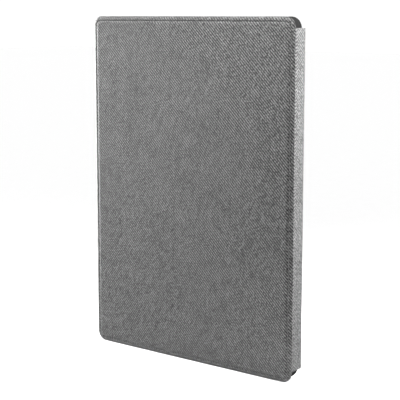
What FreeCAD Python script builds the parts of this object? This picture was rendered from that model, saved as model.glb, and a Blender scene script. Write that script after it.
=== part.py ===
import FreeCAD, Part
import math
import os

# Tablet keyboard case, closed and standing upright.  All lengths are in millimetres.
#
# The functions below work in case coordinates:
#   x runs from the free edge (0) to the spine (CASE_WIDTH),
#   y runs from the front cover's outer face (0) to the back (CASE_THICKNESS),
#   z runs from the bottom edge (0) to the top edge (CASE_HEIGHT).
# write_part() then moves each solid so that the origin is the centre of the footprint.

# ---- driving dimensions -------------------------------------------------------------
CASE_WIDTH = 185.0
CASE_HEIGHT = 256.0
CASE_THICKNESS = 17.6
TABLET_WIDTH = 174.1
TABLET_HEIGHT = 250.6
TABLET_THICKNESS = 7.5
TABLET_CLEARANCE = 0.2

FABRIC = 0.6
BOARD = 0.8

# ---- front cover --------------------------------------------------------------------
COVER_DEPTH = 2 * FABRIC + BOARD
COVER_CORNER = 7.5
COVER_RIM = 1.6
COVER_BORDER = 3.8
FRONT_STRIP_X = (183.2, 183.9)
FRONT_STRIP_GAP = 0.4

# ---- keyboard base, glued inside the front cover -------------------------------------
BASE_INSET = 3.0
BASE_SPINE_SIDE = 181.4
BASE_CORNER = 5.0
BASE_FLOOR = 0.6
BASE_WALL = 1.4
DECK_UNDER = 4.6
DECK_TOP = 5.4
RIDGE_TOP = 6.2
RIDGE_X = (156.0, 178.0)
RIDGE_EDGE = 0.5
RIDGE_HOLLOW_X = (158.0, 176.5)
RIDGE_HOLLOW_TOP = 5.7
RIDGE_HOLLOW_END = 12.0
BASE_INSIDE = COVER_DEPTH + BASE_FLOOR
BUMPER_X = (3.8, 7.0)
BUMPER_LENGTH = 10.0
BUMPER_CORNER = 1.2
BUMPER_CENTRES_Z = (24.0, 92.0, 164.0, 232.0)
BUMPER_GAP = 0.1

# ---- keys ---------------------------------------------------------------------------
KEY_UNITS = 14.5
KEY_PITCH = 16.2
ROW_PITCH = 17.0
FUNCTION_ROW_PITCH = 10.0
KEYS_FAR_EDGE = 152.0
KEY_GAP = 1.8
KEY_CLEARANCE = 0.3
KEY_TOP = 6.2
KEY_SKIRT = 4.5
KEY_CEILING = 5.5
KEY_WALL = 0.8
KEY_CORNER = 1.4
KEY_EDGE = 0.3
PLATE_TOP = 2.9
PLATE_MARGIN = 0.5
MEMBRANE_TOP = 3.1
DOME_TOP = 4.4
DOME_RADIUS = 1.8
SMALL_DOME_RADIUS = 1.0
DOME_TAPER = 0.6
ARROW_SPLIT = 1.0
LEVER_MIDDLE_Y = 3.8
LEVER_RISE = 0.3
LEVER_DEPTH = 0.5
LEVER_WIDTH = 0.6
LEVER_END_GAP = 0.6

# ---- trackpad -----------------------------------------------------------------------
TRACKPAD_X = (12.0, 51.0)
TRACKPAD_HALF_WIDTH = 50.0
TRACKPAD_Y = (4.4, 5.3)
TRACKPAD_CORNER = 2.5
TRACKPAD_SWITCH_RADIUS = 2.5
TRACKPAD_SWITCH_HEIGHT = 1.4

# ---- electronics --------------------------------------------------------------------
BOARD_MARGIN = 0.5
BOARD_Z = (12.0, 244.0)
BOARD_DEPTH = 0.8
CHIP = 7.0
CHIP_HEIGHT = 0.9
CHIPS_Z = (90.0, 128.0, 170.0)
COIL = 4.0
COIL_HEIGHT = 1.4
COIL_Z = 206.0
SWITCH_BODY_HEIGHT = 1.2
CELL_X = (10.0, 51.0)
CELLS_Z = ((13.0, 73.0), (183.0, 243.0))
CELL_CORNER = 1.5
CELL_GAP = 0.3

# ---- spine --------------------------------------------------------------------------
SPINE_OUTER = 184.0
SPINE_INNER = 182.0
SPINE_Y = (4.2, 15.2)
SPINE_END = 7.8
SPINE_Z = (SPINE_END, CASE_HEIGHT - SPINE_END)
SPINE_BOARD_INSET = 2.0

# ---- tray ---------------------------------------------------------------------------
TRAY_X = (3.0, 181.5)
TRAY_CORNER = 8.0
TRAY_BACK_RIM = 2.0
LIP_FRONT = 6.5
LIP_BACK = 7.2
LIP_OVERLAP = 1.6
CAVITY_CORNER = 6.0
LINING = 0.2
LINING_INSET = 0.5
CAVITY_BACK = LIP_BACK + TABLET_THICKNESS + LINING + TABLET_CLEARANCE / 2
WALL_BACK = 16.2
PANEL_BOARD_BACK = 16.9
MID_X = (TRAY_X[0] + TRAY_X[1]) / 2
CAVITY_X = (
    MID_X - TABLET_WIDTH / 2 - TABLET_CLEARANCE,
    MID_X + TABLET_WIDTH / 2 + TABLET_CLEARANCE,
)
CAVITY_Z = (
    (CASE_HEIGHT - TABLET_HEIGHT) / 2 - TABLET_CLEARANCE,
    (CASE_HEIGHT + TABLET_HEIGHT) / 2 + TABLET_CLEARANCE,
)
CAMERA = (18.0, 17.0)
CAMERA_RADIUS = 6.5
CAMERA_RING = 1.3
PORT_X = (85.25, 99.25)
PORT_Y = (8.5, 13.5)
SPEAKERS_X = ((38.0, 60.0), (124.5, 146.5))
SPEAKER_Y = (9.5, 12.5)
HEADPHONE = (168.0, 10.9)
HEADPHONE_RADIUS = 3.3

# ---- buttons of the tray ------------------------------------------------------------
BUTTON_LENGTH = 12.0
BUTTON_DEPTH = 2.4
BUTTON_CENTRE_Y = 11.0
BUTTON_GAP = 0.3
FLANGE_MARGIN = 0.8
FLANGE = 0.4
FLANGE_POCKET = 1.0
FLANGE_GAP = 0.05
BUTTON_PROUD = 0.5
POWER_BUTTON_RECESS = 0.4
VOLUME_UP_Z = 30.0
VOLUME_DOWN_Z = 48.0
POWER_X = 26.0

# ---- kickstand and its hinges --------------------------------------------------------
PANEL_INSET = 3.5
PANEL_CORNER = 4.0
KICK_AXIS = (92.0, 16.7)
UPPER_PANEL_X = (TRAY_X[0] + PANEL_INSET, 90.4)
KICK_X = (93.4, 169.0)
ANCHOR_X = (170.6, 181.0)
BACK_STRIP_X = (181.0, 183.2)
BACK_STRIP = 0.35
KICK_FOOT_X = (169.05, 170.1)
PANEL_Z = (PANEL_INSET, CASE_HEIGHT - PANEL_INSET)
KNUCKLE_RADIUS = 0.85
HINGE_PIN_RADIUS = 0.40
HINGE_PIN_CLEARANCE = 0.04
HINGE_GROOVE_RADIUS = 1.1
HINGE_HALF = 14.0
HINGE_MIDDLE_HALF = 7.0
HINGE_SIDE_GAP = 0.2
LEAF = 0.35
LEAF_REACH = 13.0
HINGE_CENTRES_Z = (44.0, CASE_HEIGHT - 44.0)
FASTENER_OFFSET = 9.0
FASTENER_FROM_END = 3.0
RIVET_RADIUS = 0.9
KNUCKLE_GAP_CUT = 0.3

# ---- magnets and screws --------------------------------------------------------------
MAGNET_CENTRES_Z = (76.0, 128.0, 180.0, 232.0)
MAGNET_LENGTH = 16.0
MAGNET_THICKNESS = 1.2
TRAY_MAGNET_DEPTH = 4.0
DECK_SCREWS_X = (8.0, 54.0, 154.0)
DECK_SCREWS_FROM_EDGE = 6.9
BOSS_RADIUS = 2.0
SCREW_HEAD_RADIUS = 1.4
SCREW_HEAD = 0.5
SCREW_RADIUS = 0.6

# ---- socket, switch and lights at the ridge --------------------------------------------
SOCKET_X = (161.5, 170.5)
SOCKET_Y = (2.65, 5.65)
SOCKET_DEPTH = 7.3
SOCKET_WALL = 0.25
SOCKET_ROUND = 1.4
SOCKET_MOUTH_ROUND = 1.1
SOCKET_BACK = 1.0
TONGUE_SIDE_GAP = 1.5
TONGUE_THICKNESS = 0.7
TONGUE_RECESS = 0.6
SWITCH_X = (165.4, 168.6)
SWITCH_SLOT_Z = (52.0, 60.0)
SWITCH_LENGTH = 4.0
SWITCH_GAP = 0.15
SWITCH_FLANGE = 0.6
SWITCH_FLANGE_BOTTOM = 5.0
LIGHTS_Z = (32.0, 38.0)
LIGHT_RADIUS = 0.8

SCREW_RECESS_RADIUS = 1.1
SCREW_BORE_DEPTH = 0.8
GROOVE_END_GAP = 0.5

ORIGIN_SHIFT = FreeCAD.Vector(-CASE_WIDTH / 2, -CASE_THICKNESS / 2, 0)
LEVEL = 0.001


# ---- helpers ------------------------------------------------------------------------
def box(x, y, z):
    """A block between three (low, high) pairs."""
    corner = FreeCAD.Vector(x[0], y[0], z[0])
    return Part.makeBox(x[1] - x[0], y[1] - y[0], z[1] - z[0], corner)


def plate(x, y, z, corner):
    """A block whose four corners, seen from the front, are rounded."""
    block = box(x, y, z)
    edges = [e for e in block.Edges if abs(e.tangentAt(e.FirstParameter).y) > 0.99]
    return block.makeFillet(corner, edges)


def round_along_z(block, radius):
    """Rounds the block's edges that run along z."""
    edges = [e for e in block.Edges if abs(e.tangentAt(e.FirstParameter).z) > 0.99]
    return block.makeFillet(radius, edges)


def round_rim(solid, level, radius):
    """Rounds every edge that lies flat at one level of y."""
    rim = [
        e
        for e in solid.Edges
        if abs(e.BoundBox.YMin - level) < LEVEL and abs(e.BoundBox.YMax - level) < LEVEL
    ]
    return solid.makeFillet(radius, rim)


def cylinder(radius, start, direction, length):
    """A round rod from a start point along a direction."""
    return Part.makeCylinder(
        radius, length, FreeCAD.Vector(*start), FreeCAD.Vector(*direction)
    )


def around(centre, length):
    """The (low, high) pair of a length about its centre."""
    return (centre - length / 2, centre + length / 2)


def grown(pair, margin):
    """A (low, high) pair made longer by a margin at both ends."""
    return (pair[0] - margin, pair[1] + margin)


def write_part(node, shape):
    """Writes one node, moved so that the origin is the centre of the footprint."""
    placed = shape.copy()
    placed.translate(ORIGIN_SHIFT)
    placed.exportStep("parts/" + node + ".step")


# ---- front cover --------------------------------------------------------------------
def cover_outline(inset, y):
    """The cover's plan shape, made smaller by an inset, between two depths."""
    x = grown((0.0, CASE_WIDTH), -inset)
    z = grown((0.0, CASE_HEIGHT), -inset)
    return plate(x, y, z, COVER_CORNER - inset)


def cover_inside():
    """The space that the outer fabric wraps: the board with the lining behind it."""
    inside = cover_outline(FABRIC, (FABRIC, COVER_DEPTH))
    return round_rim(inside, FABRIC, COVER_RIM - FABRIC)


def front_cover_fabric():
    outer = round_rim(cover_outline(0.0, (0.0, COVER_DEPTH)), 0.0, COVER_RIM)
    return outer.cut(cover_inside())


def front_cover_board():
    """The stiffener, which stops short of the cover's pressed border."""
    return cover_outline(COVER_BORDER, (FABRIC, FABRIC + BOARD))


def front_cover_lining():
    return cover_inside().cut(front_cover_board())


def front_hinge_fabric():
    """The strip that leads from the cover's spine edge up to the spine."""
    return box(FRONT_STRIP_X, (COVER_DEPTH, SPINE_Y[0] - FRONT_STRIP_GAP), SPINE_Z)


# ---- keyboard base ------------------------------------------------------------------
def base_outline(inset, y):
    """The keyboard base's plan shape, made smaller by an inset."""
    x = (BASE_INSET + inset, BASE_SPINE_SIDE - inset)
    z = grown((0.0, CASE_HEIGHT), -BASE_INSET - inset)
    return plate(x, y, z, BASE_CORNER - inset)


def deck_screw_places():
    """Where the deck is screwed down, as (x, z) pairs."""
    rows = (DECK_SCREWS_FROM_EDGE, CASE_HEIGHT - DECK_SCREWS_FROM_EDGE)
    return [(x, z) for x in DECK_SCREWS_X for z in rows]


def bosses():
    """The posts that take the deck's screws."""
    length = DECK_UNDER - BASE_INSIDE
    return [
        cylinder(BOSS_RADIUS, (x, BASE_INSIDE, z), (0, 1, 0), length)
        for x, z in deck_screw_places()
    ]


def screw_shafts():
    length = DECK_TOP - BASE_INSIDE - SCREW_HEAD
    return [
        cylinder(SCREW_RADIUS, (x, BASE_INSIDE, z), (0, 1, 0), length)
        for x, z in deck_screw_places()
    ]


def screw_heads():
    bottom = DECK_TOP - SCREW_HEAD
    return [
        cylinder(SCREW_HEAD_RADIUS, (x, bottom, z), (0, 1, 0), SCREW_HEAD)
        for x, z in deck_screw_places()
    ]


def deck_screws():
    pairs = zip(screw_heads(), screw_shafts())
    return Part.makeCompound([head.fuse(shaft) for head, shaft in pairs])


def magnets(x, y):
    """A row of bar magnets along the free edge."""
    return Part.makeCompound(
        [box(x, y, around(z, MAGNET_LENGTH)) for z in MAGNET_CENTRES_Z]
    )


def cover_magnets():
    x = (BASE_INSET + BASE_WALL, BASE_INSET + BASE_WALL + MAGNET_THICKNESS)
    return magnets(x, (BASE_INSIDE, DECK_UNDER))


def socket_block():
    z = (BASE_INSET, BASE_INSET + SOCKET_DEPTH)
    return round_along_z(box(SOCKET_X, SOCKET_Y, z), SOCKET_ROUND)


def usb_c_socket():
    """A metal receptacle with its tongue, open at the bottom edge."""
    z = (BASE_INSET, BASE_INSET + SOCKET_DEPTH - SOCKET_BACK)
    mouth = box(grown(SOCKET_X, -SOCKET_WALL), grown(SOCKET_Y, -SOCKET_WALL), z)
    mouth = round_along_z(mouth, SOCKET_MOUTH_ROUND)
    tongue_x = grown(SOCKET_X, -TONGUE_SIDE_GAP)
    tongue_y = around(sum(SOCKET_Y) / 2, TONGUE_THICKNESS)
    tongue = box(tongue_x, tongue_y, (z[0] + TONGUE_RECESS, z[1] + SOCKET_BACK / 2))
    return socket_block().cut(mouth).fuse(tongue)


def base_shell():
    """A shallow pan with screw posts, glued to the front cover's lining."""
    pan = base_outline(0.0, (COVER_DEPTH, DECK_UNDER))
    pan = pan.cut(base_outline(BASE_WALL, (BASE_INSIDE, DECK_UNDER)))
    pan = pan.fuse(bosses())
    return pan.cut(screw_shafts()).cut(socket_block())


def keyboard_deck():
    """The top plate: key and trackpad windows, and the ridge that stops the tablet."""
    deck = base_outline(0.0, (DECK_UNDER, DECK_TOP))
    ridge_area = box(RIDGE_X, (DECK_TOP, RIDGE_TOP), (0.0, CASE_HEIGHT))
    ridge = base_outline(0.0, (DECK_TOP, RIDGE_TOP)).common(ridge_area)
    ridge = round_rim(ridge, RIDGE_TOP, RIDGE_EDGE)
    hollow_z = grown((0.0, CASE_HEIGHT), -RIDGE_HOLLOW_END)
    hollow = box(RIDGE_HOLLOW_X, (DECK_UNDER, RIDGE_HOLLOW_TOP), hollow_z)
    windows = [key_window(key) for key in key_places()]
    windows.append(trackpad_window())
    cuts = windows + screw_heads() + screw_shafts() + light_rods()
    deck = deck.fuse(ridge).cut(hollow).cut(Part.makeCompound(cuts))
    slot = box(SWITCH_X, (RIDGE_HOLLOW_TOP, RIDGE_TOP), SWITCH_SLOT_Z)
    return deck.cut(socket_block()).cut(slot)


def key_field(margin):
    """The (x, z) area under all the keys, made larger by a margin."""
    rows_depth = FUNCTION_ROW_PITCH + 5 * ROW_PITCH
    x = (KEYS_FAR_EDGE - rows_depth, KEYS_FAR_EDGE)
    z = around(CASE_HEIGHT / 2, KEY_UNITS * KEY_PITCH)
    return grown(x, margin), grown(z, margin)


def key_support_plate():
    x, z = key_field(PLATE_MARGIN)
    return box(x, (BASE_INSIDE, PLATE_TOP), z)


def membrane_circuit():
    x, z = key_field(-PLATE_MARGIN)
    return box(x, (PLATE_TOP, MEMBRANE_TOP), z)


def circuit_board():
    """The main board under the ridge, with its packaged chips, a coil and the switch."""
    x = grown(RIDGE_HOLLOW_X, -BOARD_MARGIN)
    middle = sum(x) / 2
    top = BASE_INSIDE + BOARD_DEPTH
    board = box(x, (BASE_INSIDE, top), BOARD_Z)
    chip_y = (top, top + CHIP_HEIGHT)
    chips = [box(around(middle, CHIP), chip_y, around(z, CHIP)) for z in CHIPS_Z]
    coil = box(around(middle, COIL), (top, top + COIL_HEIGHT), around(COIL_Z, COIL))
    switch_y = (top, top + SWITCH_BODY_HEIGHT)
    switch = box(SWITCH_X, switch_y, grown(SWITCH_SLOT_Z, SWITCH_FLANGE))
    return board.fuse(chips + [coil, switch])


def battery_cells():
    """Two flat pouch cells, one on each side of the trackpad."""
    y = (BASE_INSIDE, DECK_UNDER - CELL_GAP)
    return Part.makeCompound([plate(CELL_X, y, z, CELL_CORNER) for z in CELLS_Z])


def light_rods():
    middle = sum(SWITCH_X) / 2
    length = RIDGE_TOP - RIDGE_HOLLOW_TOP
    return [
        cylinder(LIGHT_RADIUS, (middle, RIDGE_HOLLOW_TOP, z), (0, 1, 0), length)
        for z in LIGHTS_Z
    ]


def deck_bumpers():
    """Rubber pads that the tray's lip closes onto."""
    y = (DECK_TOP, LIP_FRONT - BUMPER_GAP)
    pads = [
        plate(BUMPER_X, y, around(z, BUMPER_LENGTH), BUMPER_CORNER)
        for z in BUMPER_CENTRES_Z
    ]
    return Part.makeCompound(pads)


# ---- keys ---------------------------------------------------------------------------
FUNCTION_UNIT = KEY_UNITS / 14
KEY_ROWS = [
    [("function_keys", FUNCTION_UNIT)] * 14,
    [("number_keys", 1)] * 13 + [("backspace_key", 1.5)],
    [("tab_key", 1.5)] + [("upper_letter_keys", 1)] * 13,
    [("caps_lock_key", 1.75)] + [("home_letter_keys", 1)] * 11 + [("return_key", 1.75)],
    [("left_shift_key", 2.25)] + [("lower_letter_keys", 1)] * 10 + [("right_shift_key", 2.25)],
    [("modifier_keys", 1)] * 3
    + [("modifier_keys", 1.25), ("space_bar", 5), ("modifier_keys", 1.25), ("modifier_keys", 1)],
]


def key_places():
    """Every key as (node, x pair, z pair) of its cap, from the far row to the near row."""
    places = []
    far = KEYS_FAR_EDGE
    for number, row in enumerate(KEY_ROWS):
        depth = FUNCTION_ROW_PITCH if number == 0 else ROW_PITCH
        x = grown((far - depth, far), -KEY_GAP / 2)
        left = CASE_HEIGHT / 2 - KEY_UNITS * KEY_PITCH / 2
        for node, units in row:
            right = left + units * KEY_PITCH
            places.append((node, x, grown((left, right), -KEY_GAP / 2)))
            left = right
        far = far - depth
    return places + arrow_places(x, left)


def arrow_places(x, left):
    """The arrow cluster: three half-height caps in line, and one above the middle."""
    middle = sum(x) / 2
    lower = (x[0], middle - ARROW_SPLIT / 2)
    upper = (middle + ARROW_SPLIT / 2, x[1])
    cluster = []
    for column in range(3):
        z = grown((left, left + KEY_PITCH), -KEY_GAP / 2)
        cluster.append(("arrow_keys", lower, z))
        if column == 1:
            cluster.append(("arrow_keys", upper, z))
        left = left + KEY_PITCH
    return cluster


def key_window(key):
    x, z = key[1:]
    return plate(
        grown(x, KEY_CLEARANCE),
        (DECK_UNDER, DECK_TOP),
        grown(z, KEY_CLEARANCE),
        KEY_CORNER + KEY_CLEARANCE,
    )


def keycap(key):
    """A hollow cap, open underneath, with softened top edges."""
    x, z = key[1:]
    cap = plate(x, (KEY_SKIRT, KEY_TOP), z, KEY_CORNER)
    cap = round_rim(cap, KEY_TOP, KEY_EDGE)
    inside = box(grown(x, -KEY_WALL), (KEY_SKIRT, KEY_CEILING), grown(z, -KEY_WALL))
    return cap.cut(inside)


def keycaps(node):
    return Part.makeCompound([keycap(k) for k in key_places() if k[0] == node])


def dome_radius(key):
    """Half-height keys have smaller domes."""
    half_height = key[1][1] - key[1][0] < ROW_PITCH / 2
    return SMALL_DOME_RADIUS if half_height else DOME_RADIUS


def rubber_domes():
    """One collapsible cone under each cap."""
    domes = []
    for key in key_places():
        base = FreeCAD.Vector(sum(key[1]) / 2, MEMBRANE_TOP, sum(key[2]) / 2)
        radius = dome_radius(key)
        height = DOME_TOP - MEMBRANE_TOP
        up = FreeCAD.Vector(0, 1, 0)
        domes.append(Part.makeCone(radius, radius * DOME_TAPER, height, base, up))
    return Part.makeCompound(domes)


def scissor_levers():
    """Two crossed levers under each cap, one on each side of the dome."""
    levers = []
    for key in key_places():
        reach = (key[1][1] - key[1][0]) / 2 - KEY_WALL - LEVER_END_GAP
        offset = dome_radius(key) + 2 * LEVER_WIDTH
        tilt = math.degrees(math.asin(LEVER_RISE / reach))
        middle = FreeCAD.Vector(sum(key[1]) / 2, LEVER_MIDDLE_Y, sum(key[2]) / 2)
        for side in (-1, 1):
            z = around(side * offset, LEVER_WIDTH)
            lever = box((-reach, reach), around(0.0, LEVER_DEPTH), z)
            lever.rotate(FreeCAD.Vector(), FreeCAD.Vector(0, 0, 1), side * tilt)
            lever.translate(middle)
            levers.append(lever)
    return Part.makeCompound(levers)


# ---- trackpad and power switch --------------------------------------------------------
def trackpad_window():
    z = around(CASE_HEIGHT / 2, 2 * TRACKPAD_HALF_WIDTH)
    return plate(TRACKPAD_X, (DECK_UNDER, DECK_TOP), z, TRACKPAD_CORNER)


def trackpad():
    x = grown(TRACKPAD_X, -KEY_CLEARANCE)
    z = grown(around(CASE_HEIGHT / 2, 2 * TRACKPAD_HALF_WIDTH), -KEY_CLEARANCE)
    return plate(x, TRACKPAD_Y, z, TRACKPAD_CORNER - KEY_CLEARANCE)


def trackpad_switch():
    start = (sum(TRACKPAD_X) / 2, BASE_INSIDE, CASE_HEIGHT / 2)
    return cylinder(TRACKPAD_SWITCH_RADIUS, start, (0, 1, 0), TRACKPAD_SWITCH_HEIGHT)


def power_switch_slider():
    """The slider's flange stays under the ridge and its nub comes up through the slot."""
    nub_x = grown(SWITCH_X, -SWITCH_GAP)
    start = SWITCH_SLOT_Z[0] + SWITCH_GAP
    nub_z = (start, start + SWITCH_LENGTH)
    nub = box(nub_x, (SWITCH_FLANGE_BOTTOM, RIDGE_TOP + SWITCH_GAP), nub_z)
    flange_y = (SWITCH_FLANGE_BOTTOM, RIDGE_HOLLOW_TOP - SWITCH_GAP)
    flange = box(grown(nub_x, SWITCH_FLANGE), flange_y, grown(nub_z, SWITCH_FLANGE))
    return nub.fuse(flange)


# ---- spine --------------------------------------------------------------------------
def spine_layer(x, inset=0.0):
    return box(x, SPINE_Y, grown(SPINE_Z, -inset))


def spine_fabric():
    return spine_layer((SPINE_OUTER - FABRIC, SPINE_OUTER))


def spine_board():
    return spine_layer((SPINE_INNER + FABRIC, SPINE_OUTER - FABRIC), SPINE_BOARD_INSET)


def spine_lining():
    return spine_layer((SPINE_INNER, SPINE_INNER + FABRIC))


# ---- tray ---------------------------------------------------------------------------
def tray_outline(y):
    return plate(TRAY_X, y, (0.0, CASE_HEIGHT), TRAY_CORNER)


def hinge_grooves():
    """Grooves that the hinge barrels sink into."""
    return [
        cylinder(
            HINGE_GROOVE_RADIUS,
            (KICK_AXIS[0], KICK_AXIS[1], z - HINGE_HALF - GROOVE_END_GAP),
            (0, 0, 1),
            2 * (HINGE_HALF + GROOVE_END_GAP),
        )
        for z in HINGE_CENTRES_Z
    ]


def camera_hole(radius, y):
    return cylinder(radius, (CAMERA[0], y[0], CAMERA[1]), (0, 1, 0), y[1] - y[0])


def port_cuts():
    """Openings over the tablet's connector, speakers and headphone jack."""
    top = (CAVITY_Z[1], CASE_HEIGHT)
    slots = [(PORT_X, PORT_Y)] + [(x, SPEAKER_Y) for x in SPEAKERS_X]
    cuts = [box(x, y, top) for x, y in slots]
    jack = (HEADPHONE[0], HEADPHONE[1], 0.0)
    return cuts + [cylinder(HEADPHONE_RADIUS, jack, (0, 0, 1), CAVITY_Z[0])]


def button_cuts():
    """Stepped windows for the three buttons: a narrow mouth and a wider inner pocket."""
    y = around(BUTTON_CENTRE_Y, BUTTON_DEPTH + 2 * BUTTON_GAP)
    wide_y = grown(y, FLANGE_MARGIN)
    cuts = []
    for centre in (VOLUME_UP_Z, VOLUME_DOWN_Z):
        z = around(centre, BUTTON_LENGTH + 2 * BUTTON_GAP)
        cuts.append(box((TRAY_X[0], CAVITY_X[0]), y, z))
        pocket_x = (CAVITY_X[0] - FLANGE_POCKET, CAVITY_X[0])
        cuts.append(box(pocket_x, wide_y, grown(z, FLANGE_MARGIN)))
    x = around(POWER_X, BUTTON_LENGTH + 2 * BUTTON_GAP)
    pocket_z = (CAVITY_Z[0] - FLANGE_POCKET, CAVITY_Z[0])
    cuts.append(box(x, y, (0.0, CAVITY_Z[0])))
    cuts.append(box(grown(x, FLANGE_MARGIN), wide_y, pocket_z))
    return cuts


def tray_magnets():
    """Bars let into the middle of the free edge's wall."""
    x = around((TRAY_X[0] + CAVITY_X[0]) / 2, MAGNET_THICKNESS)
    return magnets(x, (LIP_BACK, LIP_BACK + TRAY_MAGNET_DEPTH))


def tray_shell():
    """The hard shell that holds the tablet by its sides and back."""
    shell = round_rim(tray_outline((LIP_BACK, WALL_BACK)), WALL_BACK, TRAY_BACK_RIM)
    cavity = plate(CAVITY_X, (LIP_BACK, CAVITY_BACK), CAVITY_Z, CAVITY_CORNER)
    shell = shell.cut(cavity)
    hole = camera_hole(CAMERA_RADIUS, (CAVITY_BACK, WALL_BACK))
    cuts = hinge_grooves() + port_cuts() + button_cuts() + screw_bores() + [hole]
    return shell.cut(cuts).cut(tray_magnets())


def tray_lip_frame():
    """The soft lip that holds the tablet's front edge."""
    opening = plate(
        grown(CAVITY_X, -LIP_OVERLAP),
        (LIP_FRONT, LIP_BACK),
        grown(CAVITY_Z, -LIP_OVERLAP),
        CAVITY_CORNER - LIP_OVERLAP / 2,
    )
    return tray_outline((LIP_FRONT, LIP_BACK)).cut(opening)


def tray_lining():
    y = (CAVITY_BACK - LINING, CAVITY_BACK)
    sheet = plate(
        grown(CAVITY_X, -LINING_INSET),
        y,
        grown(CAVITY_Z, -LINING_INSET),
        CAVITY_CORNER - LINING_INSET,
    )
    return sheet.cut(camera_hole(CAMERA_RADIUS, y))


def anchor_strip():
    """The end of the spine's laminate, glued to the tray's back."""
    return box(ANCHOR_X, (WALL_BACK, CASE_THICKNESS), SPINE_Z)


def back_hinge_fabric():
    """The strip that leads from the anchor strip to the spine."""
    return box(BACK_STRIP_X, (CASE_THICKNESS - BACK_STRIP, CASE_THICKNESS), SPINE_Z)


def upper_back_panel(y):
    panel = plate(UPPER_PANEL_X, y, PANEL_Z, PANEL_CORNER)
    return panel.cut(camera_hole(CAMERA_RADIUS + CAMERA_RING, y))


def upper_back_board():
    board = upper_back_panel((WALL_BACK, PANEL_BOARD_BACK))
    leaves = [leaf_blank(z, -1) for z in HINGE_CENTRES_Z]
    return board.cut(leaves)


def upper_back_fabric():
    return upper_back_panel((PANEL_BOARD_BACK, CASE_THICKNESS))


def camera_ring():
    y = (WALL_BACK, CASE_THICKNESS)
    ring = camera_hole(CAMERA_RADIUS + CAMERA_RING, y)
    return ring.cut(camera_hole(CAMERA_RADIUS, y))


def button(x, y, z, flange_x, flange_z):
    """A cap with a wider flange behind it that keeps it in the wall."""
    flange_y = grown(y, FLANGE_MARGIN)
    return box(x, y, z).fuse(box(flange_x, flange_y, flange_z))


def volume_button(centre):
    y = around(BUTTON_CENTRE_Y, BUTTON_DEPTH)
    z = around(centre, BUTTON_LENGTH)
    seat = CAVITY_X[0] - FLANGE_POCKET + FLANGE_GAP
    cap_x = (TRAY_X[0] - BUTTON_PROUD, seat)
    return button(cap_x, y, z, (seat, seat + FLANGE), grown(z, FLANGE_MARGIN))


def power_button():
    y = around(BUTTON_CENTRE_Y, BUTTON_DEPTH)
    x = around(POWER_X, BUTTON_LENGTH)
    seat = CAVITY_Z[0] - FLANGE_POCKET + FLANGE_GAP
    flange_x = grown(x, FLANGE_MARGIN)
    return button(x, y, (POWER_BUTTON_RECESS, seat), flange_x, (seat, seat + FLANGE))


# ---- kickstand ----------------------------------------------------------------------
def kickstand_board():
    board = plate(KICK_X, (WALL_BACK, PANEL_BOARD_BACK), PANEL_Z, PANEL_CORNER)
    leaves = [leaf_blank(z, 1) for z in HINGE_CENTRES_Z]
    return board.cut(leaves + hinge_rivet_rods(PANEL_BOARD_BACK - WALL_BACK))


def kickstand_fabric():
    return plate(KICK_X, (PANEL_BOARD_BACK, CASE_THICKNESS), PANEL_Z, PANEL_CORNER)


def leaf_blank(centre, side):
    """A hinge leaf's flat part, on the side of the axis given by -1 or 1."""
    near = KICK_AXIS[0] + side * HINGE_PIN_RADIUS
    far = KICK_AXIS[0] + side * LEAF_REACH
    half = HINGE_HALF if side < 0 else HINGE_MIDDLE_HALF
    x = (min(near, far), max(near, far))
    return box(x, (WALL_BACK, WALL_BACK + LEAF), (centre - half, centre + half))


def barrel(z, radius):
    return cylinder(radius, (KICK_AXIS[0], KICK_AXIS[1], z[0]), (0, 0, 1), z[1] - z[0])


def fastener_places(side):
    """Two fasteners through each leaf, as (x, z) pairs."""
    half = HINGE_HALF if side < 0 else HINGE_MIDDLE_HALF
    x = KICK_AXIS[0] + side * FASTENER_OFFSET
    along = half - FASTENER_FROM_END
    return [(x, c + s * along) for c in HINGE_CENTRES_Z for s in (-1, 1)]


def hinge_fixed_leaves():
    """Leaves on the tray: two outer knuckles each, around the pin."""
    leaves = []
    heads = screw_recesses()
    for centre in HINGE_CENTRES_Z:
        outer = (centre - HINGE_HALF, centre + HINGE_HALF)
        gap = grown((centre - HINGE_MIDDLE_HALF, centre + HINGE_MIDDLE_HALF), HINGE_SIDE_GAP)
        leaf = leaf_blank(centre, -1).fuse(barrel(outer, KNUCKLE_RADIUS))
        swept = grown(around(KICK_AXIS[0], 2 * KNUCKLE_RADIUS), KNUCKLE_GAP_CUT)
        leaf = leaf.cut(box(swept, (CAVITY_BACK, CASE_THICKNESS), gap))
        leaves.append(leaf.cut(barrel(outer, HINGE_PIN_RADIUS)).cut(heads))
    return Part.makeCompound(leaves)


def hinge_moving_leaves():
    """Leaves on the kickstand: one middle knuckle each, turning on the pin."""
    leaves = []
    for centre in HINGE_CENTRES_Z:
        middle = (centre - HINGE_MIDDLE_HALF, centre + HINGE_MIDDLE_HALF)
        leaf = leaf_blank(centre, 1).fuse(barrel(middle, KNUCKLE_RADIUS))
        bore = barrel(middle, HINGE_PIN_RADIUS + HINGE_PIN_CLEARANCE)
        leaves.append(leaf.cut(bore).cut(hinge_rivet_rods(LEAF)))
    return Part.makeCompound(leaves)


def hinge_pins():
    pins = [barrel((z - HINGE_HALF, z + HINGE_HALF), HINGE_PIN_RADIUS) for z in HINGE_CENTRES_Z]
    return Part.makeCompound(pins)


def screw_recesses():
    return [
        cylinder(SCREW_RECESS_RADIUS, (x, WALL_BACK, z), (0, 1, 0), LEAF)
        for x, z in fastener_places(-1)
    ]


def screw_bores():
    start = WALL_BACK - SCREW_BORE_DEPTH
    return [
        cylinder(SCREW_RADIUS, (x, start, z), (0, 1, 0), SCREW_BORE_DEPTH)
        for x, z in fastener_places(-1)
    ]


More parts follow.
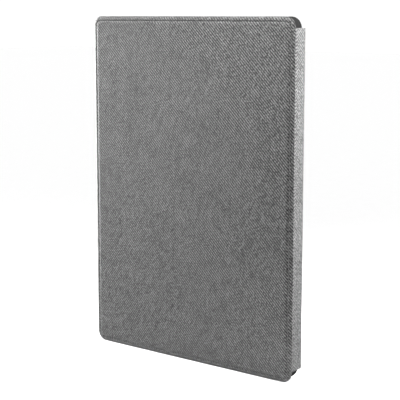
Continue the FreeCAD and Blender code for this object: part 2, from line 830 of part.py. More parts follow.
def hinge_screws():
    """Flat-headed screws that hold the fixed leaves to the tray."""
    pairs = zip(screw_recesses(), screw_bores())
    return Part.makeCompound([head.fuse(shaft) for head, shaft in pairs])


def hinge_rivet_rods(length):
    return [
        cylinder(RIVET_RADIUS, (x, WALL_BACK, z), (0, 1, 0), length)
        for x, z in fastener_places(1)
    ]


def hinge_rivets():
    """Flush rivets that hold the moving leaves to the kickstand's board."""
    return Part.makeCompound(hinge_rivet_rods(PANEL_BOARD_BACK - WALL_BACK))


def kickstand_foot():
    """A rubber strip let into the free end of the kickstand."""
    z = grown(PANEL_Z, -PANEL_CORNER)
    return box(KICK_FOOT_X, (WALL_BACK, CASE_THICKNESS), z)


# ---- all nodes ------------------------------------------------------------------------
def build():
    """Returns every node's shape by name."""
    nodes = {
        "front_cover_fabric": front_cover_fabric(),
        "front_cover_board": front_cover_board(),
        "front_cover_lining": front_cover_lining(),
        "front_hinge_fabric": front_hinge_fabric(),
        "base_shell": base_shell(),
        "keyboard_deck": keyboard_deck(),
        "key_support_plate": key_support_plate(),
        "membrane_circuit": membrane_circuit(),
        "rubber_domes": rubber_domes(),
        "scissor_levers": scissor_levers(),
        "circuit_board": circuit_board(),
        "battery_cells": battery_cells(),
        "usb_c_socket": usb_c_socket(),
        "status_lights": Part.makeCompound(light_rods()),
        "deck_screws": deck_screws(),
        "deck_bumpers": deck_bumpers(),
        "cover_magnets": cover_magnets(),
        "trackpad": trackpad(),
        "trackpad_switch": trackpad_switch(),
        "power_switch_slider": power_switch_slider(),
        "spine_fabric": spine_fabric(),
        "spine_board": spine_board(),
        "spine_lining": spine_lining(),
        "tray_shell": tray_shell(),
        "tray_lip_frame": tray_lip_frame(),
        "tray_lining": tray_lining(),
        "tray_magnets": tray_magnets(),
        "anchor_strip": anchor_strip(),
        "back_hinge_fabric": back_hinge_fabric(),
        "upper_back_board": upper_back_board(),
        "upper_back_fabric": upper_back_fabric(),
        "camera_ring": camera_ring(),
        "volume_up_button": volume_button(VOLUME_UP_Z),
        "volume_down_button": volume_button(VOLUME_DOWN_Z),
        "power_button": power_button(),
        "hinge_fixed_leaves": hinge_fixed_leaves(),
        "hinge_pins": hinge_pins(),
        "hinge_screws": hinge_screws(),
        "hinge_moving_leaves": hinge_moving_leaves(),
        "hinge_rivets": hinge_rivets(),
        "kickstand_board": kickstand_board(),
        "kickstand_fabric": kickstand_fabric(),
        "kickstand_foot": kickstand_foot(),
    }
    for node in dict.fromkeys(key[0] for key in key_places()):
        nodes[node] = keycaps(node)
    return nodes


os.makedirs("parts", exist_ok=True)
for node_name, node_shape in build().items():
    write_part(node_name, node_shape)
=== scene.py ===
import math

import bmesh
import bpy
import numpy as np
from mathutils import Matrix, Vector


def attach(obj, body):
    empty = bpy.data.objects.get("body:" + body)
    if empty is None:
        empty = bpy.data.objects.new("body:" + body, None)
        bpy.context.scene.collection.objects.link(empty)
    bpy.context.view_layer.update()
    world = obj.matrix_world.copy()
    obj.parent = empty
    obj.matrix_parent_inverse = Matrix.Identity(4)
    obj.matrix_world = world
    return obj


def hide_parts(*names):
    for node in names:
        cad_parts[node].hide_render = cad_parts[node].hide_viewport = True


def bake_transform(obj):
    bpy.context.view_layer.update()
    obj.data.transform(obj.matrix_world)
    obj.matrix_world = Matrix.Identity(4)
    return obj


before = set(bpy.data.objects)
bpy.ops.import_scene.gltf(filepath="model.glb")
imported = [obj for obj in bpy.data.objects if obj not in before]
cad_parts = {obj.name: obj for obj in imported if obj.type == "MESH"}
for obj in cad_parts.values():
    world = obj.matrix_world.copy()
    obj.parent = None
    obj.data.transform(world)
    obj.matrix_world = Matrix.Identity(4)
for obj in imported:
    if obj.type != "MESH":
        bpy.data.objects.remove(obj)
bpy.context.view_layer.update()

# Looks of the tablet keyboard case.  Points are given in case millimetres, as in the
# CAD source: x from the free edge to the spine, y from front to back, z from the bottom
# to the top.  placed() turns them into the row frame's metres.
MM = 0.001
WIDTH, DEPTH, HEIGHT = 185.0, 17.6, 256.0

# ---- dimensions of the fabric pieces -------------------------------------------------
COVER_CORNER = 7.5
STRIP_Z = (7.8, 248.2)
SPINE_X = 184.0
SPINE_WAIST = 0.2
FOLD_RADIUS = 3.2
END_TRIM = 1.2
CLOTH = 0.6
FOLD_CLOTH = 0.5
SPINE_LINING_X = 182.6
COVER_BORDER = 8.0
LEVEL_SPACING = 6.0
SHARP_ANGLE = 40.0

# ---- the twill ------------------------------------------------------------------------
YARN = 0.6
WANDER = 0.3
WARP_TONE, WEFT_TONE = 0.6, 0.02
CROWN_POWER, SWELL_POWER = 2.2, 3.0
GAP_SHADE = 0.9
TWILL_RELIEF = 0.03

# ---- panels on the tray's back ---------------------------------------------------------
PANEL_THICKNESS = 0.7
PANEL_EDGE = 0.35
PANEL_BORDER = 4.5
PANEL_Z = (3.5, 252.5)
ANCHOR_INNER = 16.2
WINDOW_CENTRE, WINDOW_RADIUS = (18.0, 17.0), 6.5

# ---- camera, floor and lights, in metres, degrees and watts ----------------------------
CAMERA_PLACE = (0.51433, -0.65204, 0.25794)
CAMERA_TURN, CAMERA_TILT = 37.975, 8.359
CAMERA_LENS, SENSOR_WIDTH, CAMERA_SHIFT = 101.96, 36.0, -0.05
FLOOR_REACH, FLOOR_STEPS, FLOOR_LEVEL = 6.0, 24, -0.0002
SURROUND_STRENGTH = 1.08
# Each light's place, target, size, power and beam angle.
LIGHTS = {
    "spine_side_light": ((0.50, 0.27, 0.24), (0.09, 0.0, 0.21), (0.2, 0.25), 1.22, 60.0),
    "upper_spine_light": ((0.42, 0.24, 0.62), (0.09, 0.0, 0.20), (0.3, 0.3), 0.9, 60.0),
    "free_edge_light": ((-0.50, 0.02, 0.12), (-0.09, 0.0, 0.20), (0.12, 0.3), 3.1, 60.0),
    "grazing_light": ((-0.33, -0.11, 0.27), (-0.06, 0.0, 0.18), (0.12, 0.3), 1.05, 110.0),
    "overhead_light": ((0.0, -0.06, 0.45), (0.0, 0.0, 0.27), (0.3, 0.08), 0.42, 70.0),
    "upper_corner_light": ((0.30, -0.10, 0.40), (0.08, 0.0, 0.25), (0.1, 0.1), 0.06, 30.0),
}


def placed(points):
    """Case millimetres to row-frame metres."""
    return (np.asarray(points, float) - (WIDTH / 2, DEPTH / 2, 0.0)) * MM


# ---- node graphs ---------------------------------------------------------------------
class Graph:
    """One material; each call adds a node and returns its output socket."""

    def __init__(self, name, **constants):
        self.material = bpy.data.materials.new(name)
        self.material.use_nodes = True
        self.tree = self.material.node_tree
        self.tree.nodes.clear()
        self.shader = self.tree.nodes.new("ShaderNodeBsdfPrincipled")
        output = self.tree.nodes.new("ShaderNodeOutputMaterial")
        self.tree.links.new(self.shader.outputs[0], output.inputs[0])
        for socket, value in constants.items():
            self.shader.inputs[socket.replace("_", " ")].default_value = value

    def plug(self, socket, value):
        if isinstance(value, bpy.types.NodeSocket):
            self.tree.links.new(value, socket)
        elif value is not None:
            socket.default_value = value

    def set(self, socket, value):
        self.plug(self.shader.inputs[socket], value)

    def node(self, kind, inputs=(), **settings):
        made = self.tree.nodes.new("ShaderNode" + kind)
        for key, value in settings.items():
            setattr(made, key, value)
        for key, value in dict(inputs).items():
            self.plug(made.inputs[key], value)
        return made

    def math(self, operation, a, b=None):
        inputs = {0: a, 1: b}
        return self.node("Math", inputs, operation=operation).outputs[0]

    def add(self, a, b):
        return self.math("ADD", a, b)

    def minus(self, a, b):
        return self.math("SUBTRACT", a, b)

    def times(self, a, b):
        return self.math("MULTIPLY", a, b)

    def floor(self, value):
        return self.math("FLOOR", value)

    def fract(self, value):
        return self.math("FRACT", value)

    def rounded(self, place, power):
        """1 in the middle of a place that runs from 0 to 1, and 0 at its ends."""
        offset = self.math("ABSOLUTE", self.spread(place, 0.0, 1.0, -1.0, 1.0))
        return self.minus(1.0, self.math("POWER", offset, power))

    def join(self, x, y, z=0.0):
        return self.node("CombineXYZ", {0: x, 1: y, 2: z}).outputs[0]

    def noise(self, vector, scale, detail=2.0, rough=0.5):
        inputs = {"Vector": vector, "Scale": scale, "Detail": detail, "Roughness": rough}
        return self.node("TexNoise", inputs).outputs["Fac"]

    def white(self, vector):
        return self.node("TexWhiteNoise", {"Vector": vector}).outputs["Value"]

    def spread(self, value, low, high, to_low=0.0, to_high=1.0):
        inputs = {0: value, 1: low, 2: high, 3: to_low, 4: to_high}
        return self.node("MapRange", inputs).outputs[0]

    def pick(self, factor, a, b):
        """a where factor is 0, b where it is 1."""
        return self.add(a, self.times(factor, self.minus(b, a)))

    def colour(self, factor, a, b):
        made = self.node("Mix", data_type="RGBA")
        self.plug(made.inputs[0], factor)
        self.plug(made.inputs[6], a)
        self.plug(made.inputs[7], b)
        return made.outputs[2]

    def bump(self, height, distance, strength):
        inputs = {"Height": height, "Distance": distance, "Strength": strength}
        return self.node("Bump", inputs).outputs[0]


def grey(value, warmth=0.0):
    return (value * (1 + warmth), value, value * (1 - warmth), 1.0)


def twill(name, dark, light):
    """A heathered 2/2 twill, drawn from the piece's own cloth coordinates in metres."""
    g = Graph(name, Roughness=0.9, Sheen_Weight=0.06, Sheen_Roughness=0.5)
    g.shader.inputs["Specular IOR Level"].default_value = 0.25
    cloth = g.node("UVMap", uv_map="cloth").outputs[0]
    wobble = g.minus(g.noise(cloth, 90.0, 3.0), 0.5)
    parts = g.node("SeparateXYZ", {0: cloth})
    across = g.times(parts.outputs[0], 1000.0 / YARN)
    along = g.times(parts.outputs[1], 1000.0 / YARN)
    across = g.add(across, g.times(wobble, WANDER))
    along = g.minus(along, g.times(wobble, WANDER))
    i, j = g.floor(across), g.floor(along)
    fi, fj = g.fract(across), g.fract(along)
    step = g.times(g.add(i, j), 0.25)
    phase = g.fract(step)
    weft = g.math("GREATER_THAN", phase, 0.45)
    # Across the yarn on top, and along its float of two crossings.
    side = g.pick(weft, fi, fj)
    run = g.fract(g.times(phase, 2.0))
    travel = g.add(run, g.times(g.pick(weft, fj, fi), 0.5))
    crown = g.rounded(side, CROWN_POWER)
    swell = g.rounded(travel, SWELL_POWER)
    height = g.times(g.math("MAXIMUM", crown, 0.0), g.math("MAXIMUM", swell, 0.0))
    # Each float has its own tone, and each yarn changes slowly along its length.
    floats = g.floor(step)
    own = g.white(g.join(g.pick(weft, i, j), floats, g.times(weft, 31.0)))
    yarn_place = g.join(
        g.times(g.pick(weft, i, j), 3.7),
        g.times(g.pick(weft, along, across), 0.13),
        g.times(weft, 57.0),
    )
    melange = g.noise(yarn_place, 1.0, 2.0, 0.6)
    fibres = g.noise(g.join(g.times(across, 2.6), g.times(along, 2.6)), 1.0, 2.0)
    ridge = g.floor(g.times(step, 2.0))
    slant = g.minus(across, along)
    streak = g.noise(g.join(g.times(ridge, 5.3), g.times(slant, 0.3)), 1.0, 1.0)
    patch = g.noise(cloth, 38.0, 4.0, 0.6)
    tone = g.spread(weft, 0.0, 1.0, WARP_TONE, WEFT_TONE)
    # Each source, the range that it mostly covers, and how far it moves the tone.
    variations = (
        (own, 0.0, 1.0, 0.06),
        (streak, 0.3, 0.7, 0.4),
        (melange, 0.25, 0.75, 0.10),
        (fibres, 0.2, 0.8, 0.04),
        (patch, 0.3, 0.7, 0.04),
    )
    for source, lower, upper, reach in variations:
        tone = g.add(tone, g.spread(source, lower, upper, -reach, reach))
    # Painted shade: the colour darkens towards the low gaps between the yarns, where the raised floats would
    # shade them.
    shade = g.spread(height, 0.0, 0.8, GAP_SHADE, 1.0)
    colour = g.colour(tone, grey(dark), grey(light))
    colour = g.colour(shade, grey(dark * 0.35), colour)
    g.set("Base Color", colour)
    fine = g.add(height, g.times(fibres, 0.35))
    g.set("Normal", g.bump(fine, TWILL_RELIEF * MM, 0.9))
    return g.material


def object_place(g):
    return g.node("TexCoord").outputs["Object"]


def moulded(name, value, vary, rough, grain=0.35, relief=0.02, **more):
    """Textured plastic or rubber: a spark-eroded grain, handling marks and slight mottling."""
    g = Graph(name, **more)
    place = object_place(g)
    mottle = g.noise(place, 45.0, 4.0, 0.6)
    fine = g.noise(place, 1000.0 / grain, 2.0, 0.6)
    tone = g.add(g.times(mottle, 0.7), g.times(fine, 0.3))
    low, high = grey(value * (1 - vary)), grey(value * (1 + vary))
    g.set("Base Color", g.colour(g.spread(tone, 0.3, 0.7), low, high))
    marks = g.noise(place, 210.0, 3.0, 0.7)
    g.set("Roughness", g.spread(marks, 0.3, 0.7, rough - 0.07, rough + 0.07))
    g.set("Normal", g.bump(fine, relief * MM, 0.6))
    return g.material


def brushed(name, value, rough, direction):
    """Sheet metal with fine lines along one axis."""
    g = Graph(name, Metallic=1.0)
    parts = g.node("SeparateXYZ", {0: object_place(g)})
    scales = [9000.0, 9000.0, 9000.0]
    scales[direction] = 120.0
    stretched = g.join(*[g.times(parts.outputs[k], scales[k]) for k in range(3)])
    lines = g.noise(stretched, 1.0, 3.0, 0.6)
    stain = g.noise(object_place(g), 160.0, 3.0)
    g.set("Base Color", g.colour(g.spread(stain, 0.3, 0.7), grey(value * 0.85), grey(value, 0.02)))
    g.set("Roughness", g.spread(lines, 0.3, 0.7, rough - 0.1, rough + 0.1))
    g.set("Normal", g.bump(lines, 0.008 * MM, 0.5))
    return g.material


def nap(name, dark, light):
    """Short-piled microfibre lining."""
    g = Graph(name, Roughness=0.95, Sheen_Weight=0.15, Sheen_Roughness=0.4)
    g.shader.inputs["Specular IOR Level"].default_value = 0.2
    place = object_place(g)
    pile = g.noise(place, 5200.0, 3.0, 0.7)
    brush = g.noise(place, 130.0, 5.0, 0.65)
    tone = g.add(g.times(pile, 0.85), g.times(brush, 0.3))
    g.set("Base Color", g.colour(g.spread(tone, 0.35, 0.85), grey(dark), grey(light)))
    g.set("Normal", g.bump(pile, 0.06 * MM, 0.8))
    return g.material


def fibreboard(name, value):
    """Pressed board, with flecks of longer fibre."""
    g = Graph(name, Roughness=0.85)
    place = object_place(g)
    fleck = g.node("TexVoronoi", {"Vector": place, "Scale": 1500.0}).outputs["Distance"]
    pulp = g.noise(place, 700.0, 5.0, 0.7)
    tone = g.add(g.times(fleck, 0.5), pulp)
    g.set("Base Color", g.colour(g.spread(tone, 0.4, 1.0), grey(value * 0.6), grey(value * 1.3, 0.03)))
    g.set("Normal", g.bump(tone, 0.03 * MM, 0.5))
    return g.material


def circuit(name):
    """Solder mask over copper runs."""
    g = Graph(name, Metallic=0.1, Coat_Weight=0.4)
    place = object_place(g)
    parts = g.node("SeparateXYZ", {0: place})
    lanes = g.fract(g.times(g.add(parts.outputs[0], parts.outputs[2]), 900.0))
    cell = g.white(g.join(*[g.floor(g.times(parts.outputs[k], 160.0)) for k in (0, 2)]))
    run = g.times(g.math("GREATER_THAN", lanes, 0.55), g.math("GREATER_THAN", cell, 0.4))
    g.set("Base Color", g.colour(run, (0.006, 0.035, 0.018, 1), (0.02, 0.10, 0.045, 1)))
    g.set("Roughness", g.spread(g.noise(place, 400.0), 0.3, 0.7, 0.3, 0.45))
    g.set("Normal", g.bump(run, 0.03 * MM, 0.6))
    return g.material


def foil(name):
    """The crinkled pouch of a flat cell."""
    g = Graph(name, Metallic=0.85)
    place = object_place(g)
    crease = g.node("TexVoronoi", {"Vector": place, "Scale": 230.0}, feature="SMOOTH_F1").outputs["Distance"]
    dull = g.noise(place, 90.0, 4.0)
    g.set("Base Color", g.colour(dull, grey(0.35), grey(0.62, 0.01)))
    g.set("Roughness", g.spread(dull, 0.3, 0.7, 0.28, 0.5))
    g.set("Normal", g.bump(crease, 0.25 * MM, 0.5))
    return g.material


def clear(name):
    g = Graph(name, IOR=1.49, Transmission_Weight=0.9)
    haze = g.noise(object_place(g), 900.0, 3.0)
    g.set("Base Color", g.colour(haze, grey(0.80), grey(0.92)))
    g.set("Roughness", g.spread(haze, 0.3, 0.7, 0.15, 0.35))
    return g.material


FACE_TWILL = twill("heathered_twill", 0.006, 0.162)
LINING = nap("light_microfibre", 0.36, 0.60)
DARK_LINING = nap("dark_microfibre", 0.035, 0.075)
BOARD = fibreboard("pressed_board", 0.045)
TRAY_SHELL = moulded("matt_black_shell", 0.012, 0.18, 0.7, Specular_IOR_Level=0.0)
SHELL = moulded("charcoal_shell", 0.022, 0.18, 0.6, Specular_IOR_Level=0.15)
LIP = moulded("soft_rubber_lip", 0.016, 0.2, 0.68, 0.22, 0.03, Specular_IOR_Level=0.0)

SLOT_MATERIALS = {
    "outer_fabric": FACE_TWILL,
    "inner_fabric": DARK_LINING,
    "stiff_board": BOARD,
    "dark_shell": SHELL,
    "soft_lip": LIP,
    "keycap": moulded("satin_keycap", 0.016, 0.25, 0.55, 0.3, 0.015, Specular_IOR_Level=0.25),
    "touch_surface": moulded("trackpad_film", 0.05, 0.12, 0.5, 0.15, 0.004, Specular_IOR_Level=0.3),
    "steel": brushed("brushed_steel", 0.55, 0.32, 2),
    "magnet": brushed("nickel_plate", 0.62, 0.25, 0),
    "printed_circuit": circuit("circuit_board_mask"),
    "membrane": moulded("dome_rubber", 0.42, 0.15, 0.6, 0.3, 0.01, Subsurface_Weight=0.1),
    "battery_foil": foil("cell_pouch_foil"),
    "clear_plastic": clear("light_pipe"),
}


def repaint_frame():
    """Gives every CAD node the procedural material of its slot."""
    for name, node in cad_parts.items():
        for used in node.material_slots:
            slot = used.material.name.split(".")[0]
            used.material = TRAY_SHELL if name == "tray_shell" else SLOT_MATERIALS[slot]


# ---- meshes --------------------------------------------------------------------------
def make_piece(name, points, faces, cloth, material):
    """A closed mesh from case-millimetre points, with cloth coordinates per point."""
    mesh = bpy.data.meshes.new(name)
    mesh.from_pydata([tuple(p) for p in placed(points)], [], [tuple(f) for f in faces])
    layer = mesh.uv_layers.new(name="cloth")
    corners = np.zeros(len(mesh.loops), int)
    mesh.loops.foreach_get("vertex_index", corners)
    layer.data.foreach_set("uv", (np.asarray(cloth, float)[corners] * MM).ravel())
    solid = bmesh.new()
    solid.from_mesh(mesh)
    bmesh.ops.recalc_face_normals(solid, faces=solid.faces)
    if solid.calc_volume(signed=True) < 0:
        bmesh.ops.reverse_faces(solid, faces=solid.faces)
    solid.to_mesh(mesh)
    solid.free()
    mesh.polygons.foreach_set("use_smooth", [True] * len(mesh.polygons))
    mesh.set_sharp_from_angle(angle=math.radians(SHARP_ANGLE))
    mesh.materials.append(material)
    piece = bpy.data.objects.new(name, mesh)
    bpy.context.scene.collection.objects.link(piece)
    return piece


def half_zone(inset, corner, zone, turns):
    """Points from a rounded corner's middle to the end of its zone, along one side."""
    radius = max(corner - inset, 0.4)
    centre = inset + radius
    arc = radius * math.pi / 4
    points = []
    for run in np.linspace(0.0, arc + zone - centre, turns + 1):
        if run < arc:
            turn = math.pi / 4 + run / radius
            points.append((centre - radius * math.cos(turn), centre - radius * math.sin(turn)))
        else:
            points.append((centre + run - arc, inset))
    return np.array(points)


def side_run(length, inset, corner, zone, turns, straights):
    """(along, inward) points of a whole side, from corner middle to corner middle."""
    start = half_zone(inset, corner, zone, turns)
    middle = np.linspace(zone, length - zone, straights + 1)[1:-1]
    middle = np.stack([middle, np.full(len(middle), inset)], 1)
    end = start[::-1] * (-1, 1) + (length, 0)
    return np.concatenate([start, middle, end])


class Outline:
    """A rounded rectangle in x and z whose inset copies all have the same points."""

    def __init__(self, x, z, corner, zone=12.0, turns=10, spacing=3.0):
        self.x, self.z = x, z
        self.corner, self.zone, self.turns = corner, zone, turns
        self.across = max(2, round((x[1] - x[0] - 2 * zone) / spacing))
        self.up = max(2, round((z[1] - z[0] - 2 * zone) / spacing))

    def sides(self, inset):
        shape = (inset, self.corner, self.zone, self.turns)
        wide = side_run(self.x[1] - self.x[0], *shape, self.across)
        tall = side_run(self.z[1] - self.z[0], *shape, self.up)
        return wide, tall

    def ring(self, inset):
        """The loop of (x, z) points, anticlockwise from the lower left corner."""
        wide, tall = self.sides(inset)
        bottom = np.stack([self.x[0] + wide[:, 0], self.z[0] + wide[:, 1]], 1)
        right = np.stack([self.x[1] - tall[:, 1], self.z[0] + tall[:, 0]], 1)
        top = np.stack([self.x[0] + wide[:, 0], self.z[1] - wide[:, 1]], 1)[::-1]
        left = np.stack([self.x[0] + tall[:, 1], self.z[0] + tall[:, 0]], 1)[::-1]
        return np.concatenate([bottom[:-1], right[:-1], top[:-1], left[:-1]])

    def grid(self, inset):
        """The filled area as [i, j] points whose border is the ring."""
        wide, tall = self.sides(inset)
        u = (wide[:, 0] - wide[0, 0]) / (wide[-1, 0] - wide[0, 0])
        v = (tall[:, 0] - tall[0, 0]) / (tall[-1, 0] - tall[0, 0])
        x = self.x[0] + wide[:, 0][:, None] + np.outer(1 - 2 * u, tall[:, 1] - tall[0, 1])
        z = self.z[0] + tall[:, 0][None, :] + np.outer(wide[:, 1] - wide[0, 1], 1 - 2 * v)
        return np.stack([x, z], 2)

    def border(self):
        """Grid indices in the ring's order."""
        columns, rows = self.across + 2 * self.turns, self.up + 2 * self.turns
        bottom = [(i, 0) for i in range(columns)]
        right = [(columns, j) for j in range(rows)]
        top = [(i, rows) for i in range(columns, 0, -1)]
        left = [(0, j) for j in range(rows, 0, -1)]
        return bottom + right + top + left


def level_sheet(x, z):
    return np.zeros_like(x)


def sheet_piece(name, outline, profile, material, depth=level_sheet, mirrored=False):
    """A closed sheet: a filled area, rings of (inset, y, cloth inset), and a filled back."""
    points, cloth, faces = [], [], []

    def add(flat, y, cloth_flat):
        start = sum(len(p) for p in points)
        level = y + depth(flat[:, 0], flat[:, 1])
        points.append(np.stack([flat[:, 0], level, flat[:, 1]], 1))
        cloth.append(cloth_flat * (-1, 1) if mirrored else cloth_flat)
        return start

    def fill(inset, y, cloth_inset):
        grid = outline.grid(inset)
        shape = grid.shape[:2]
        start = add(grid.reshape(-1, 2), y, outline.grid(cloth_inset).reshape(-1, 2))
        index = start + np.arange(shape[0] * shape[1]).reshape(shape)
        quads = np.stack([index[:-1, :-1], index[1:, :-1], index[1:, 1:], index[:-1, 1:]], 2)
        faces.extend(quads.reshape(-1, 4).tolist())
        return np.array([index[i, j] for i, j in outline.border()])

    last = fill(*profile[0])
    for inset, y, cloth_inset in profile[1:-1]:
        flat = outline.ring(inset)
        start = add(flat, y, outline.ring(cloth_inset))
        ring = start + np.arange(len(flat))
        faces.extend(zip(last, np.roll(last, -1), np.roll(ring, -1), ring))
        last = ring
    ring = fill(*profile[-1])
    faces.extend(zip(last, np.roll(last, -1), np.roll(ring, -1), ring))
    faces = [[int(k) for k in face] for face in faces]
    return make_piece(name, np.concatenate(points), faces, np.concatenate(cloth), material)


def unrolled(pairs, reference):
    """Adds each (inset, y) point's cloth inset, measured along the profile."""
    pairs = np.array(pairs, float)
    run = np.concatenate([[0.0], np.cumsum(np.hypot(*np.diff(pairs, axis=0).T))])
    return [(d, y, reference - r) for (d, y), r in zip(pairs, run)]


def strip_levels(z, thickness):
    """(z, share of the thickness) pairs, with rounded ends."""
    ends = [(1 - math.cos(a), math.sin(a)) for a in np.radians((12, 35, 60, 90))]
    low = [(z[0] + e * thickness / 2, s) for e, s in ends]
    high = [(z[1] - e * thickness / 2, s) for e, s in reversed(ends)]
    count = round((z[1] - z[0]) / LEVEL_SPACING)
    middle = [(level, 1.0) for level in np.linspace(z[0], z[1], count + 1)[1:-1]]
    return low + middle + high


def quads_between(first, second):
    """Faces that join two equal runs of point numbers."""
    return np.stack([first[:-1], first[1:], second[1:], second[:-1]], 1).tolist()


def strip_piece(name, line, z, thickness, material, start=0.0, bow=None, trim=None):
    """A cloth strip that follows a line of (x, y) points, from z[0] to z[1]."""
    line = np.array(line, float)
    tangent = np.gradient(line, axis=0)
    tangent /= np.hypot(*tangent.T)[:, None]
    normal = np.stack([tangent[:, 1], -tangent[:, 0]], 1)
    run = start + np.concatenate([[0.0], np.cumsum(np.hypot(*np.diff(line, axis=0).T))])
    bow = np.zeros(len(line)) if bow is None else np.asarray(bow, float)
    trim = np.zeros(len(line)) if trim is None else np.asarray(trim, float)
    middle, half = (z[0] + z[1]) / 2, (z[1] - z[0]) / 2
    levels = strip_levels(z, thickness)
    points, cloth = [], []
    for side in (1, -1):
        for level, share in levels:
            lean = SPINE_WAIST * (2 * level / HEIGHT - 1) ** 2
            flat = line + normal * (side * share - 1) * thickness / 2
            height = middle + (level - middle) * (1 - trim / half)
            points.append(np.stack([flat[:, 0] + bow * lean, flat[:, 1], height], 1))
            cloth.append(np.stack([-run, height], 1))
    count, rows = len(line), len(levels)
    index = np.arange(2 * count * rows).reshape(2, rows, count)
    faces = []
    for face in index:
        quads = np.stack([face[:-1, :-1], face[:-1, 1:], face[1:, 1:], face[1:, :-1]], 2)
        faces.extend(quads.reshape(-1, 4).tolist())
    for row in (0, rows - 1):
        faces.extend(quads_between(index[0, row], index[1, row]))
    for column in (0, count - 1):
        faces.extend(quads_between(index[0, :, column], index[1, :, column]))
    return make_piece(name, np.concatenate(points), faces, np.concatenate(cloth), material)


# ---- camera, floor and lights ---------------------------------------------------------
def make_camera():
    """The photograph's view: from the spine side, level with the top edge, tilted down a little."""
    data = bpy.data.cameras.new("camera")
    data.lens = CAMERA_LENS
    data.sensor_width = SENSOR_WIDTH
    data.shift_y = CAMERA_SHIFT
    data.clip_start, data.clip_end = 0.01, 20.0
    camera = bpy.data.objects.new("camera", data)
    bpy.context.scene.collection.objects.link(camera)
    turn = Matrix.Rotation(math.radians(CAMERA_TURN), 4, "Z")
    tilt = Matrix.Rotation(math.radians(90.0 - CAMERA_TILT), 4, "X")
    camera.matrix_world = Matrix.Translation(CAMERA_PLACE) @ turn @ tilt
    bpy.context.scene.camera = camera


def make_light(name, place, target, size, power, beam):
    """A rectangular light that points at its target."""
    data = bpy.data.lights.new(name, "AREA")
    data.shape = "RECTANGLE"
    data.size, data.size_y = size
    data.energy = power
    data.spread = math.radians(beam)
    light = bpy.data.objects.new(name, data)
    bpy.context.scene.collection.objects.link(light)
    light.location = place
    aim = np.array(target) - np.array(place)
    light.rotation_mode = "QUATERNION"
    light.rotation_quaternion = Vector(aim).to_track_quat("-Z", "Y")


def make_studio():
    """A pale floor, a white surround and the lights."""
    mesh = bpy.data.meshes.new("studio_floor")
    row = FLOOR_STEPS + 1
    grid = np.linspace(-FLOOR_REACH, FLOOR_REACH, row)
    points = [(x, y, FLOOR_LEVEL) for x in grid for y in grid]
    quads = [
        (a * row + b, (a + 1) * row + b, (a + 1) * row + b + 1, a * row + b + 1)
        for a in range(FLOOR_STEPS)
        for b in range(FLOOR_STEPS)
    ]
    mesh.from_pydata(points, [], quads)
    paper = Graph("pale_paper", Roughness=0.9)
    place = object_place(paper)
    paper.set("Base Color", paper.colour(paper.noise(place, 60.0, 3.0), grey(0.90), grey(0.93)))
    mesh.materials.append(paper.material)
    floor = bpy.data.objects.new("studio_floor", mesh)
    bpy.context.scene.collection.objects.link(floor)

    world = bpy.data.worlds.new("white_surround")
    world.use_nodes = True
    background = world.node_tree.nodes["Background"]
    background.inputs[0].default_value = (1.0, 1.0, 1.0, 1.0)
    background.inputs[1].default_value = SURROUND_STRENGTH
    bpy.context.scene.world = world

    for name, settings in LIGHTS.items():
        make_light(name, *settings)


# ---- front cover ----------------------------------------------------------------------
def ripple(x, z):
    """The bonded face is flat to about a tenth of a millimetre."""
    long = 0.035 * np.sin(x / 23.0 + z / 41.0 + 0.6) + 0.03 * np.sin(x / 37.0 - z / 29.0)
    return long + 0.012 * np.sin(x / 9.1 + 1.0) * np.sin(z / 8.3)


def cover_profile():
    """From the face's border, over the pressed groove and the rolled rim, to the back."""
    groove = [
        (COVER_BORDER, 0.0), (6.5, -0.01), (5.6, -0.03), (5.1, 0.0), (4.7, 0.10), (4.3, 0.27),
        (3.9, 0.50), (3.65, 0.72), (3.45, 0.88), (3.25, 0.86), (3.05, 0.68), (2.85, 0.54),
    ]
    rim = [
        (2.6, 0.47), (2.25, 0.50), (1.8, 0.64), (1.3, 0.87), (0.85, 1.13), (0.45, 1.41),
        (0.14, 1.66), (0.0, 1.78), (0.06, 1.93), (0.3, 2.0), (0.9, 1.98),
    ]
    back = [(1.1, 1.7), (1.3, 1.35), (3.2, 1.3), (4.2, 1.1), (4.8, 0.6), (COVER_BORDER, 0.6)]
    return unrolled(groove + rim + back, COVER_BORDER)


def lining_profile():
    """From the lining's face, round its soft edge, to its hidden side."""
    face = [(COVER_BORDER, 1.99), (3.2, 1.99), (1.2, 2.12), (0.6, 2.16), (0.3, 2.12), (0.16, 2.03)]
    back = [(0.3, 1.96), (1.2, 1.75), (1.6, 1.45), (COVER_BORDER, 1.41)]
    return unrolled(face + back, COVER_BORDER)


def make_cover():
    outline = Outline((0.0, WIDTH), (0.0, HEIGHT), COVER_CORNER)
    cover = sheet_piece("cover_twill", outline, cover_profile(), FACE_TWILL, ripple)
    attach(cover, "keyboard_base")
    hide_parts("front_cover_fabric")

    outline = Outline((0.0, WIDTH), (0.0, HEIGHT), COVER_CORNER, 12.0, 8, 8.0)
    lining = sheet_piece("cover_lining", outline, lining_profile(), LINING)
    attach(lining, "keyboard_base")
    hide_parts("front_cover_lining")


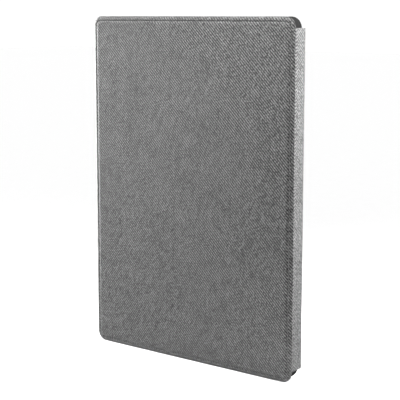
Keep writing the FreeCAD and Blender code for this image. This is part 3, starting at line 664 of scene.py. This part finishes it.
# ---- spine and folds -------------------------------------------------------------------
def make_spine():
    fold = [
        (184.1, 1.80), (184.55, 1.74), (184.9, 1.86), (185.0, 2.15), (184.97, 2.5),
        (184.85, 2.9), (184.65, 3.25), (184.4, 3.55), (184.15, 3.78), (183.95, 3.95),
        (183.85, 4.08), (183.88, 4.22), (183.98, 4.4),
    ]
    bow = np.linspace(0.0, 1.0, len(fold)) ** 2
    front = strip_piece(
        "front_fold_twill", fold, STRIP_Z, FOLD_CLOTH, FACE_TWILL, 0.0, bow
    )
    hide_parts("front_hinge_fabric")
    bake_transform(front)

    face = [(SPINE_X, y) for y in np.linspace(4.4, 14.4, 11)]
    bow = np.ones(len(face))
    spine = strip_piece(
        "spine_twill", face, STRIP_Z, CLOTH, FACE_TWILL, 3.4, bow
    )
    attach(spine, "spine")
    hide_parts("spine_fabric")

    face = [(SPINE_LINING_X, y) for y in np.linspace(4.4, 15.1, 9)]
    lining = strip_piece(
        "spine_lining_cloth", face, STRIP_Z, CLOTH, DARK_LINING
    )
    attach(lining, "spine")
    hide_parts("spine_lining")

    turns = np.radians(np.linspace(0, 90, 13))
    centre = (SPINE_X - FOLD_RADIUS, DEPTH - FOLD_RADIUS)
    arc = centre + FOLD_RADIUS * np.stack([np.cos(turns), np.sin(turns)], 1)
    bow = np.cos(turns)
    trim = END_TRIM * np.sin(turns) ** 2
    back = strip_piece(
        "back_fold_twill", arc, STRIP_Z, FOLD_CLOTH, FACE_TWILL, 13.4, bow, trim
    )
    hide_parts("back_hinge_fabric")
    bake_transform(back)


# ---- back of the tray -------------------------------------------------------------------
def panel_profile(inner, back, edge):
    """From the panel's back face, round its edge, to its hidden side."""
    pairs = [(PANEL_BORDER, back), (1.2, back), (0.6, back - 0.03)]
    for turn in np.radians((70, 45, 20, 0)):
        pairs.append((edge - edge * math.cos(turn), back - edge + edge * math.sin(turn)))
    pairs += [(0.0, inner + 0.05), (0.1, inner), (1.5, inner), (PANEL_BORDER, inner)]
    return unrolled(pairs, PANEL_BORDER)


def cut_round(piece, centre, radius, back):
    """Cuts a round window through a flat piece, from the back."""
    turns = np.linspace(0.0, 2 * math.pi, 65)[:-1]
    ring = centre + radius * np.stack([np.cos(turns), np.sin(turns)], 1)
    points = [(x, y, z) for y in (back - 3.0, back + 3.0) for x, z in ring]
    count = len(ring)
    sides = [(k, (k + 1) % count, count + (k + 1) % count, count + k) for k in range(count)]
    caps = [tuple(range(count)), tuple(range(2 * count - 1, count - 1, -1))]
    mesh = bpy.data.meshes.new("window_cutter")
    mesh.from_pydata([tuple(p) for p in placed(points)], [], sides + caps)
    tool = bmesh.new()
    tool.from_mesh(mesh)
    bmesh.ops.recalc_face_normals(tool, faces=tool.faces)
    tool.to_mesh(mesh)
    tool.free()
    cutter = bpy.data.objects.new("window_cutter", mesh)
    bpy.context.scene.collection.objects.link(cutter)
    change = piece.modifiers.new("window", "BOOLEAN")
    change.operation = "DIFFERENCE"
    change.solver = "EXACT"
    change.object = cutter
    graph = bpy.context.evaluated_depsgraph_get()
    result = bpy.data.meshes.new_from_object(piece.evaluated_get(graph))
    piece.modifiers.clear()
    piece.data = result
    bpy.data.objects.remove(cutter)


def make_back():
    """The cloth panels on the tray's back and on the kickstand."""
    anchor_z = (STRIP_Z[0] + END_TRIM, STRIP_Z[1] - END_TRIM)
    hidden = DEPTH - PANEL_THICKNESS
    # Each panel's x, z, corner, end zone, inner level, CAD node and body.
    plans = {
        "upper_back_twill": ((6.5, 90.4), PANEL_Z, 4.0, 9.0, hidden, "upper_back_fabric", "tray"),
        "kickstand_twill": ((93.4, 169.0), PANEL_Z, 4.0, 9.0, hidden, "kickstand_fabric", "kickstand"),
        "anchor_twill": ((170.6, 180.85), anchor_z, 1.2, 4.8, ANCHOR_INNER, "anchor_strip", "tray"),
    }
    for name, (x, z, corner, zone, inner, node, body) in plans.items():
        outline = Outline(x, z, corner, zone, 8, 4.0)
        profile = panel_profile(inner, DEPTH, PANEL_EDGE)
        piece = sheet_piece(name, outline, profile, FACE_TWILL, mirrored=True)
        if name == "upper_back_twill":
            cut_round(piece, WINDOW_CENTRE, WINDOW_RADIUS, DEPTH)
        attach(piece, body)
        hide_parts(node)


make_camera()
make_studio()
repaint_frame()
make_cover()
make_spine()
make_back()

bpy.context.scene.view_settings.view_transform = "Standard"
